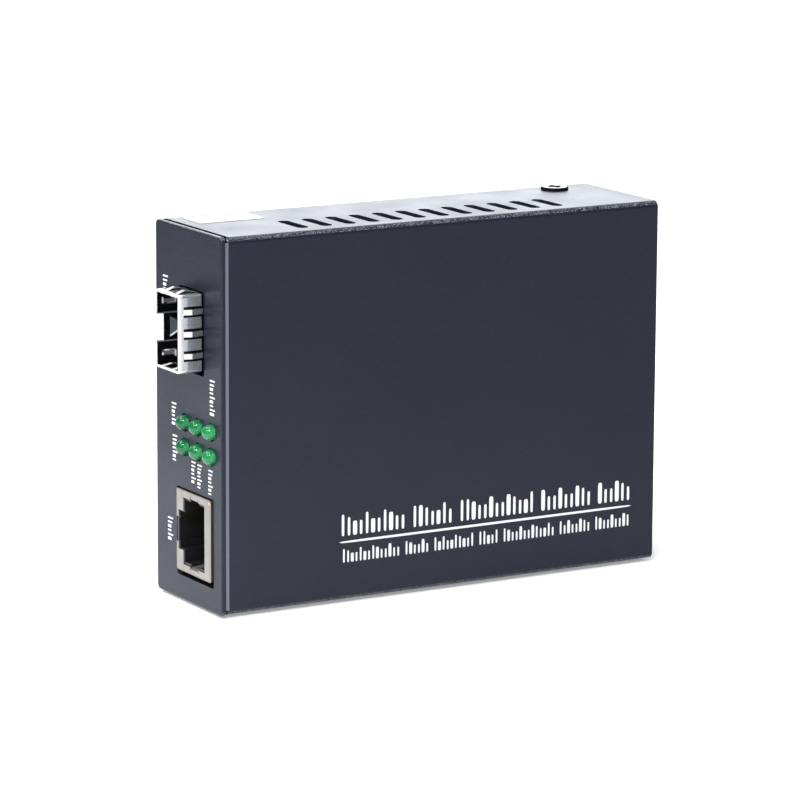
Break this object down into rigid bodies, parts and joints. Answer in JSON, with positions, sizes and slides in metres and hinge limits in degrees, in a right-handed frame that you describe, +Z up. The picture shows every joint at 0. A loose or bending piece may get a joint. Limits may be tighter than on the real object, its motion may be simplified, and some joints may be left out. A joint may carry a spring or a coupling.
{
  "type": "fibre media converter",
  "caption": "Small folded-steel box that links a copper network jack to a pluggable fibre transceiver cage, with status lamps, side vents and a rear barrel power inlet.",
  "frame": {"origin": "centre of the footprint, on the surface that the converter stands on", "axes": "+X from the port panel to the power inlet, +Y from the printed face to the base plate, +Z up from the lower vented side wall to the upper one"},
  "size_m": [0.1, 0.0262, 0.0717],
  "materials": {
    "case_paint": "dark slate powder coat, fine texture, semi-gloss",
    "black_screw": "black zinc, glossy",
    "zinc_steel": "bright zinc plate",
    "solder_mask": "green solder mask over glass-fibre board",
    "nickel_shield": "satin nickel plate",
    "gilt_contact": "gold flash",
    "cage_steel": "nickel-plated strip",
    "spring_steel": "bright tin plate",
    "black_moulding": "black moulded nylon",
    "tinned_lead": "matt tin",
    "green_lamp": "green tinted clear resin, unlit",
    "bright_pin": "bright nickel plate",
    "package_resin": "moulded black epoxy",
    "can_metal": "drawn metal can",
    "ferrite": "dark ferrite",
    "ceramic_chip": "tan ceramic chip",
    "resistor_body": "black glazed ceramic",
    "white_paper": "white paper label and white print"
  },
  "bodies": {
    "root": {"base_chassis": "case_paint", "top_cover": "case_paint", "cover_screws": "black_screw", "board_standoffs": "zinc_steel", "board_screws": "zinc_steel", "circuit_board": "solder_mask", "rj45_shield": "nickel_shield", "rj45_housing": "black_moulding", "rj45_contacts": "gilt_contact", "sfp_cage": "cage_steel", "sfp_spring_collar": "spring_steel", "sfp_connector": "black_moulding", "sfp_connector_contacts": "tinned_lead", "led_1": "green_lamp", "led_2": "green_lamp", "led_3": "green_lamp", "led_4": "green_lamp", "led_5": "green_lamp", "led_6": "green_lamp", "led_leads": "tinned_lead", "led_holder": "black_moulding", "dc_jack_housing": "black_moulding", "dc_jack_pin": "bright_pin", "dc_jack_terminals": "tinned_lead", "lan_transformer": "package_resin", "converter_chip": "package_resin", "memory_chip": "package_resin", "clock_crystal": "can_metal", "voltage_regulator": "package_resin", "power_inductor": "ferrite", "electrolytic_capacitors": "can_metal", "chip_capacitors": "ceramic_chip", "chip_resistors": "resistor_body", "seal_label": "white_paper"}
  },
  "joints": []
}
